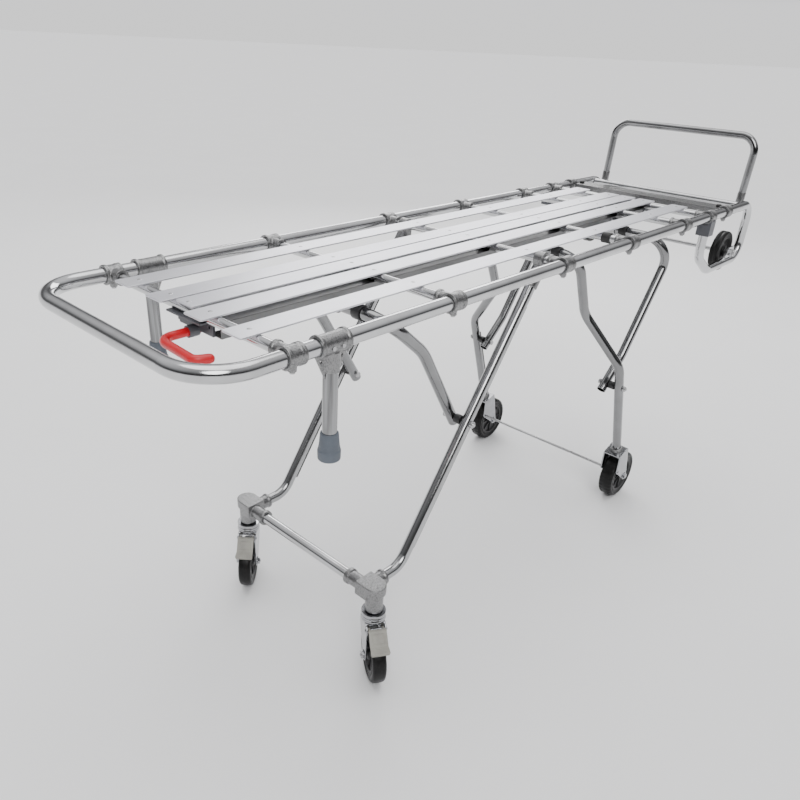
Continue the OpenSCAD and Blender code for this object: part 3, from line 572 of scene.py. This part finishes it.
def pedal_trim(side):
    """Rolled toe edge, a flared toe pad with grip ribs, and a raised frame on the pedal's slope."""
    place = castor_place(side)
    bm = bmesh.new()

    def bar(a, b, radius):
        sweep(bm, [place @ a, place @ b], radius, 12)

    def across(p, half, radius):
        bar(p - Vector((0, half, 0)), p + Vector((0, half, 0)), radius)

    across(PEDAL_TOE + Vector((0.0021, 0, -0.0014)), 0.0175, 0.0020)
    along = (PEDAL_HEEL - PEDAL_TOE).normalized()
    out = Vector((-along.z, 0, along.x))
    pad = place @ Matrix((along, Vector((0, 1, 0)), out)).transposed().to_4x4()
    pad.translation = place @ (PEDAL_TOE + along * 0.0085)
    corners = [(-0.0080, -0.0216), (0.0085, -0.0198), (0.0085, 0.0198), (-0.0080, 0.0216)]
    prism(bm, closed_round(corners, 0.003), pad, 0.0036)
    for share in (0.30, 0.52, 0.74):
        across(PEDAL_TOE.lerp(PEDAL_HEEL, share) + out * 0.0018, 0.0165, 0.0007)
    low, high = (PEDAL_HEEL.lerp(PEDAL_CREST, share) for share in (0.18, 0.80))
    for end in (low, high):
        across(end, 0.0130, RIB_R)
    for y in (-0.0130, 0.0130):
        bar(low + Vector((0, y, 0)), high + Vector((0, y, 0)), RIB_R)
    finish_piece("pedal_trim_" + side, bm, "pedal_" + side, "pedal", 0.0005, 2, 40)


for side in SIDES:
    castor_trim(side)
    pedal_trim(side)


# The rear forks' tilt from upright, and the length along it from the fork plate's top to the axle
REAR_TILT = math.radians(20.5)
REAR_REACH = 0.10633


def rear_trim(side):
    """Cap nuts and washers of a rear axle, and the bright collar over the leg's lower end."""
    axle = Vector(joints["rear_%s_roll" % side]["pos_m"])
    up_leg = Vector((-math.sin(REAR_TILT), 0, math.cos(REAR_TILT)))
    fork_top = axle + up_leg * REAR_REACH
    bm = bmesh.new()
    for s in (-1, 1):
        out = frame_at(axle + Vector((0, s * REAR_FORK_FACE, 0)), (0, s, 0), UP)
        washer(bm, out, 0.0116)
        hex_nut(bm, out @ Matrix.Translation((0, 0, WASHER_T)), 0.0146, 0.0038, 0.0040)
    finish_piece("rear_trim_" + side, bm, "leg_c", "chrome", 0.0003, 2, 40)
    bm = bmesh.new()
    collar = [(0.0128, 0.0002), (0.0182, 0.0002), (0.0186, 0.0012), (0.0172, 0.0040), (0.0163, 0.0080),
              (0.0160, 0.0098), (0.0150, 0.0108), (0.0128, 0.0108), (0.0128, 0.0002)]
    lathe(bm, collar, frame_at(fork_top, up_leg, (0, 1, 0)), 48)
    finish_piece("rear_collar_" + side, bm, "leg_c", "casting", angle=50)


for side in SIDES:
    rear_trim(side)


# ---------------------------------------------------------------- rubber tips and release handle

# Outer radii of a rubber tip's flange and of the dipped release rod
TIP_R = 0.020
DIP_R = 0.008


def rubber_tips():
    """Crutch-style tips: a ribbed foot with a rolled flange and a tapering neck."""
    low, high = (Vector(v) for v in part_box("rubber_tips"))
    x, tall = (low.x + high.x) / 2, high.z - low.z
    neck = [(0.0199, 0.0165), (0.0196, 0.0178), (0.0184, 0.0190), (0.0180, 0.0212), (0.0184, 0.0226),
            (0.0180, 0.0240), (0.0173, 0.0262), (0.0176, 0.0278), (0.0172, 0.0292), (0.0158, tall - 0.0030),
            (0.0152, tall - 0.0008), (0.0143, tall), (0.01275, tall), (0.01275, 0.010), (0, 0.010)]
    foot = [(0, 0.0008), (0.006, 0.0008), (0.0066, 0), (0.0105, 0), (0.0111, 0.0009), (0.0128, 0.0009),
            (0.0134, 0)]
    foot += arc(0.0172, 0.0024, 0.0024, -90, -10, 5)
    outline = foot + neck
    bm = bmesh.new()
    for y in (low.y + TIP_R, high.y - TIP_R):
        lathe(bm, outline, Matrix.Translation((x, y, low.z)), 48)
    finish_piece("post_tips", bm, "frame", "tip_rubber", angle=55, replaced=("rubber_tips",))


def release_handle():
    """Bent rod in thick dipped vinyl, with a rounded end."""
    low, high = (Vector(v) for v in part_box("release_handle"))
    z = (low.z + high.z) / 2
    root = Vector((high.x, 0, z))
    corners = [root, (-0.940, 0, z), (-0.946, -0.108, z), (-0.9232, -0.1186, z)]
    path = rounded(corners, [0, 0.026, 0.014, 0])
    bm = bmesh.new()
    sweep(bm, path, DIP_R, 32)
    finish_piece("release_grip", bm, "release", "red_dip", angle=60, replaced=("release_handle",))


rubber_tips()
release_handle()


# ---------------------------------------------------------------- slats and rivets

# Where the cross tubes lie, then each slat's side position and foot end in millimetres
CROSS_X = [x * MM for x in (-876, -492, -106, 204.5, 519, 694)]
SLATS = [(-160, -912), (-58, -912), (4, -886), (58, -912), (160, -912)]
SLAT_HALF = 24.75 * MM
slat_low, slat_high = (Vector(v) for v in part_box("slats"))
# The underside of the track's web, where its rivets show
track_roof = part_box("slide_track")[1][2] - 0.0025
TRACK_RIVET_Y = 45


def slats():
    """Rolled strips with round corners and soft edges."""
    bm = bmesh.new()
    thick = slat_high.z - slat_low.z
    for y, foot in SLATS:
        a, b = foot * MM, slat_high.x
        low, high = y * MM - SLAT_HALF, y * MM + SLAT_HALF
        outline = closed_round([(a, low), (b, low), (b, high), (a, high)], 0.004)
        prism(bm, outline, Matrix.Translation((0, 0, slat_low.z + thick / 2)), thick)
    finish_piece("slat_strips", bm, "frame", "slat", 0.0007, 3, 30, replaced=("slats",))


def rivets():
    """Domed rivet heads, pressed a little into the strips."""
    bm = bmesh.new()
    dome = [(0, 0.0009), (0.0018, 0.0008), (0.0034, 0.00045), (0.0043, 0.0), (0.0046, -0.0004),
            (0.0, -0.0004)]
    for x in CROSS_X:
        for y, _ in SLATS:
            lathe(bm, dome, Matrix.Translation((x, y * MM, slat_high.z)), 20)
        if x > CROSS_X[0]:
            for side in (-TRACK_RIVET_Y, TRACK_RIVET_Y):
                lathe(bm, dome, frame_at((x, side * MM, track_roof), (0, 0, -1)), 20)
    finish_piece("rivet_heads", bm, "frame", "steel", angle=50, replaced=("rivets",))


slats()
rivets()


# ---------------------------------------------------------------- wheels

# From the tread in to the tyre's bead, and to the rim of the wheel centre just inside it
BEAD_DEPTH = 0.0215
RIM_DEPTH = 0.0216
# Pitch of the shoulder notches in degrees, taken one step in three, and their depth
NOTCH_STEP = 3.75
NOTCH_DEPTH = 0.0022


def tyre(name, node, body, joint, radius, width, treaded):
    """A moulded tyre: crowned tread, rounded shoulders, a raised sidewall band and a bead lip."""
    h, rim = width / 2, radius - BEAD_DEPTH
    side = [(rim + 0.0002, h - 0.0012), (rim + 0.0035, h - 0.0006), (rim + 0.0045, h - 0.0018),
            (rim + 0.0085, h - 0.0014), (rim + 0.0095, h - 0.0002), (radius - 0.0085, h - 0.0001)]
    shoulder = arc(radius - 0.0082, h - 0.008, 0.0078, 88, 8, 7)
    crown = [(radius - 0.0003, h * 0.42), (radius, h * 0.2), (radius, 0)]
    half = side + shoulder + crown
    outline = half + [(r, -z) for r, z in reversed(half[:-1])] + [half[0]]
    bm = bmesh.new()
    place = frame_at(joints[joint]["pos_m"], joints[joint]["axis"], (0, 0, 1))
    lathe(bm, outline, place, 96)
    if treaded:
        inverse = place.inverted()
        bm.verts.ensure_lookup_table()
        for v in bm.verts:
            p = inverse @ v.co
            r = math.hypot(p.x, p.y)
            k = round(math.degrees(math.atan2(p.y, p.x)) / NOTCH_STEP) % 3
            if r > radius - 0.006 and abs(p.z) > h * 0.35 and k == 0:
                cut = 1 - NOTCH_DEPTH / r
                v.co = place @ Vector((p.x * cut, p.y * cut, p.z))
    finish_piece(name, bm, body, "tyre", angle=50, replaced=(node,))


def hub(name, node, body, joint, radius, width, ribs):
    """A moulded wheel centre: a rim, a recessed web with ribs, and a boss round the axle."""
    h, rim = width / 2, radius - RIM_DEPTH
    half = [(BORE_R, h - 0.0004), (0.011, h - 0.0004), (0.0122, h - 0.0016), (0.0132, h - 0.007),
            (0.0165, h - 0.009), (rim - 0.0085, h - 0.009), (rim - 0.006, h - 0.007),
            (rim - 0.0052, h - 0.0028), (rim - 0.0035, h - 0.0018), (rim, h - 0.0018)]
    outline = half + [(r, -z) for r, z in reversed(half)] + [half[0]]
    bm = bmesh.new()
    place = frame_at(joints[joint]["pos_m"], joints[joint]["axis"], (0, 0, 1))
    lathe(bm, outline, place, 72)
    for k in range(ribs):
        turn = place @ Matrix.Rotation(2 * math.pi * k / ribs, 4, "Z")
        for s in (-1, 1):
            a, b = sorted((s * (h - 0.0042), s * (h - 0.0095)))
            block(bm, (0.0115, -0.0011, a), (rim - 0.005, 0.0011, b), turn)
    finish_piece(name, bm, body, "black_nylon", 0.0005, 2, 40, replaced=(node,))


for side in SIDES:
    tyre("castor_tyre_" + side, "caster_tyre_" + side, "caster_wheel_" + side, "caster_%s_roll" % side,
         CASTOR_R, CASTOR_W, False)
    hub("castor_centre_" + side, "caster_hub_" + side, "caster_wheel_" + side, "caster_%s_roll" % side,
        CASTOR_R, CASTOR_W, 6)
    tyre("rear_tyre_ring_" + side, "rear_tyre_" + side, "rear_wheel_" + side, "rear_%s_roll" % side,
         REAR_R, REAR_W, True)
    hub("rear_centre_" + side, "rear_hub_" + side, "rear_wheel_" + side, "rear_%s_roll" % side,
        REAR_R, REAR_W, 8)


def loading_wheel(side):
    """A solid loading wheel with a stepped face and a grooved tread."""
    r, h = LOADING_R, LOADING_W / 2
    half = [(0.0064, h - 0.0002), (0.0155, h - 0.0002), (0.017, h - 0.0012), (0.018, h - 0.004),
            (0.020, h - 0.0045), (0.036, h - 0.0045), (0.0385, h - 0.004), (0.041, h - 0.0008),
            (0.043, h - 0.0001)]
    half += arc(r - 0.0055, h - 0.0055, 0.0054, 90, 5, 6)
    half += [(r, h * 0.5), (r, 0.0022), (r - 0.0012, 0.0010)]
    outline = half + [(q, -z) for q, z in reversed(half)] + [half[0]]
    bm = bmesh.new()
    joint = joints["loading_%s_roll" % side]
    lathe(bm, outline, frame_at(joint["pos_m"], joint["axis"], (0, 0, 1)), 80)
    finish_piece("loading_tyre_" + side, bm, "loading_wheel_" + side, "tyre", angle=50,
                 replaced=("loading_wheel_" + side,))


for side in SIDES:
    loading_wheel(side)


# ---------------------------------------------------------------- floor, light and camera

def studio():
    """A pale floor, a soft overcast surround and three large lamps."""
    bm = bmesh.new()
    bmesh.ops.create_grid(bm, x_segments=1, y_segments=1, size=120)
    mesh = bpy.data.meshes.new("floor")
    bm.to_mesh(mesh)
    bm.free()
    floor = bpy.data.objects.new("floor", mesh)
    bpy.context.scene.collection.objects.link(floor)
    look = Look("floor", (0.90, 0.90, 0.905), 0, 0.7)
    look.colour(look.noise(0.5), (0.885, 0.885, 0.89))
    mesh.materials.append(look.material)

    world = bpy.data.worlds.new("surround")
    bpy.context.scene.world = world
    world.use_nodes = True
    tree = world.node_tree
    where = tree.nodes.new("ShaderNodeTexCoord")
    split = tree.nodes.new("ShaderNodeSeparateXYZ")
    ramp = tree.nodes.new("ShaderNodeValToRGB")
    tree.links.new(where.outputs["Generated"], split.inputs["Vector"])
    tree.links.new(split.outputs["Z"], ramp.inputs["Fac"])
    elements = ramp.color_ramp.elements
    elements[0].position, elements[0].color = 0.0, (1.0, 1.0, 1.0, 1)
    elements[1].position, elements[1].color = 1.0, (1, 1, 1, 1)
    for place, grey in ((0.05, 1.0), (0.10, 0.22), (0.26, 0.10), (0.44, 0.55), (0.62, 0.9)):
        step = elements.new(place)
        step.color = (grey, grey, grey * 1.02, 1)
    along = tree.nodes.new("ShaderNodeMath")
    along.operation = "ADD"
    tree.links.new(split.outputs["X"], along.inputs[0])
    tree.links.new(split.outputs["Y"], along.inputs[1])
    side = tree.nodes.new("ShaderNodeMapRange")
    side.inputs["From Min"].default_value = -1.3
    side.inputs["From Max"].default_value = 0.7
    side.inputs["To Min"].default_value = 0.25
    side.inputs["To Max"].default_value = 1.1
    tree.links.new(along.outputs["Value"], side.inputs["Value"])
    shade = tree.nodes.new("ShaderNodeVectorMath")
    shade.operation = "SCALE"
    tree.links.new(ramp.outputs["Color"], shade.inputs["Vector"])
    tree.links.new(side.outputs["Result"], shade.inputs["Scale"])
    tree.links.new(shade.outputs["Vector"], tree.nodes["Background"].inputs["Color"])
    tree.nodes["Background"].inputs["Strength"].default_value = 1.0

    suns = (("key", (-2.2, -2.6, 3.6), 35, 1.5), ("top", (0.4, 0.3, 4.0), 60, 1.6))
    for name, place, spread, strength in suns:
        data = bpy.data.lights.new(name, "SUN")
        data.energy = strength
        data.angle = math.radians(spread)
        hang_lamp(name, data, place, (0, 0, 0.6))
    data = bpy.data.lights.new("back", "AREA")
    data.shape = "RECTANGLE"
    data.size, data.size_y = 2.6, 1.4
    data.energy = 60
    hang_lamp("back", data, (2.6, 2.4, 2.4), (0, 0, 0.7))


def hang_lamp(name, data, place, aim):
    lamp = bpy.data.objects.new(name, data)
    lamp.location = place
    lamp.rotation_euler = (Vector(aim) - Vector(place)).to_track_quat("-Z", "Y").to_euler()
    bpy.context.scene.collection.objects.link(lamp)


def camera():
    """The photographer's place: off the foot end's near corner, a little above the bed."""
    turn, pitch, roll = math.radians(42.63), math.radians(28.21), math.radians(2.74)
    ahead = Vector((math.cos(turn) * math.cos(pitch), math.sin(turn) * math.cos(pitch), -math.sin(pitch)))
    level = Vector((math.sin(turn), -math.cos(turn), 0))
    above = level.cross(ahead)
    right = level * math.cos(roll) + above * math.sin(roll)
    up = above * math.cos(roll) - level * math.sin(roll)
    place = Matrix((right, up, -ahead)).transposed().to_4x4()
    place.translation = Vector((-1.5084, -1.0038, 1.2663))
    data = bpy.data.cameras.new("camera")
    data.lens = 32.34
    data.sensor_width = 36
    data.shift_x = 0.037
    data.shift_y = 0.029
    data.clip_start, data.clip_end = 0.05, 100
    eye = bpy.data.objects.new("camera", data)
    eye.matrix_world = place
    bpy.context.scene.collection.objects.link(eye)
    bpy.context.scene.camera = eye


studio()
camera()
